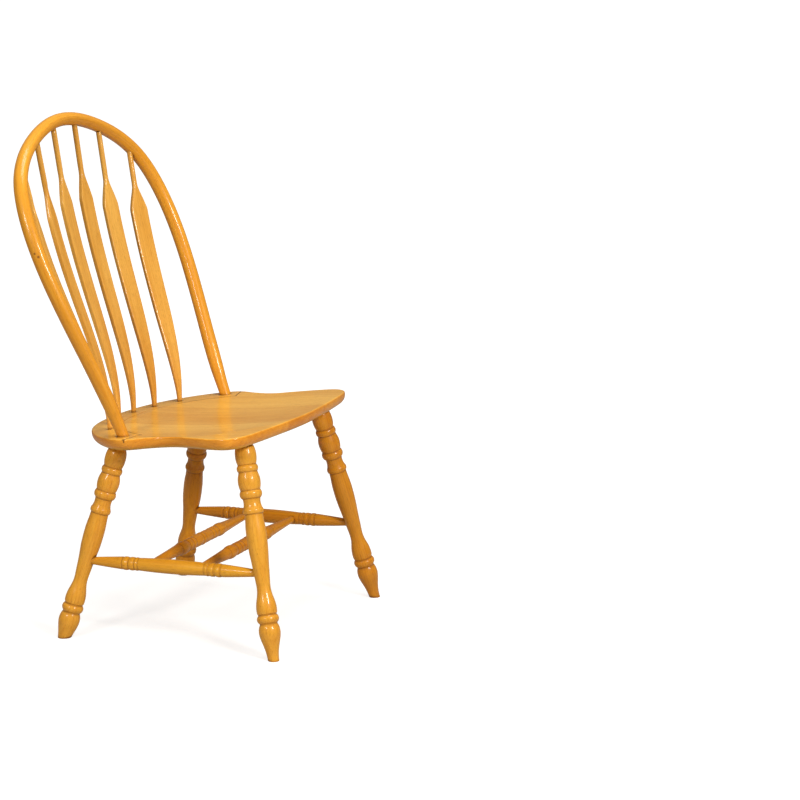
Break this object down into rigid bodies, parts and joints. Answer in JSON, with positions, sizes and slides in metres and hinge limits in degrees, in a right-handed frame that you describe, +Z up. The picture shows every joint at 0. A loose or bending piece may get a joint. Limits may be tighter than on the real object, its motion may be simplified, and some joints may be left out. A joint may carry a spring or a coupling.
{
  "type": "arrow back side chair",
  "caption": "Wooden dining side chair with a steam bent hoop back, flat arrow shaped spindles, a dished seat and turned legs tied by turned stretchers.",
  "frame": {"origin": "on the floor under the middle of the chair's overall length and width", "axes": "+Z up; the sitter faces -Y and the back leans towards +Y; +X is the sitter's left hand"},
  "size_m": [0.5978, 0.6205, 1.0605],
  "materials": {
    "seat": "clear satin lacquer over light honey oak stain",
    "bow": "clear satin lacquer over light honey oak stain",
    "arrow_spindle_inner_left": "clear satin lacquer over light honey oak stain",
    "arrow_spindle_inner_right": "clear satin lacquer over light honey oak stain",
    "arrow_spindle_middle_left": "clear satin lacquer over light honey oak stain",
    "arrow_spindle_middle_right": "clear satin lacquer over light honey oak stain",
    "arrow_spindle_outer_left": "clear satin lacquer over light honey oak stain",
    "arrow_spindle_outer_right": "clear satin lacquer over light honey oak stain",
    "leg_front_left": "clear satin lacquer over light honey oak stain",
    "leg_front_right": "clear satin lacquer over light honey oak stain",
    "leg_rear_left": "clear satin lacquer over light honey oak stain",
    "leg_rear_right": "clear satin lacquer over light honey oak stain",
    "side_stretcher_left": "clear satin lacquer over light honey oak stain",
    "side_stretcher_right": "clear satin lacquer over light honey oak stain",
    "cross_stretcher_front": "clear satin lacquer over light honey oak stain",
    "cross_stretcher_rear": "clear satin lacquer over light honey oak stain"
  },
  "bodies": {
    "root": {"seat": "seat", "bow": "bow", "arrow_spindle_inner_left": "arrow_spindle_inner_left", "arrow_spindle_inner_right": "arrow_spindle_inner_right", "arrow_spindle_middle_left": "arrow_spindle_middle_left", "arrow_spindle_middle_right": "arrow_spindle_middle_right", "arrow_spindle_outer_left": "arrow_spindle_outer_left", "arrow_spindle_outer_right": "arrow_spindle_outer_right", "leg_front_left": "leg_front_left", "leg_front_right": "leg_front_right", "leg_rear_left": "leg_rear_left", "leg_rear_right": "leg_rear_right", "side_stretcher_left": "side_stretcher_left", "side_stretcher_right": "side_stretcher_right", "cross_stretcher_front": "cross_stretcher_front", "cross_stretcher_rear": "cross_stretcher_rear"}
  },
  "joints": []
}
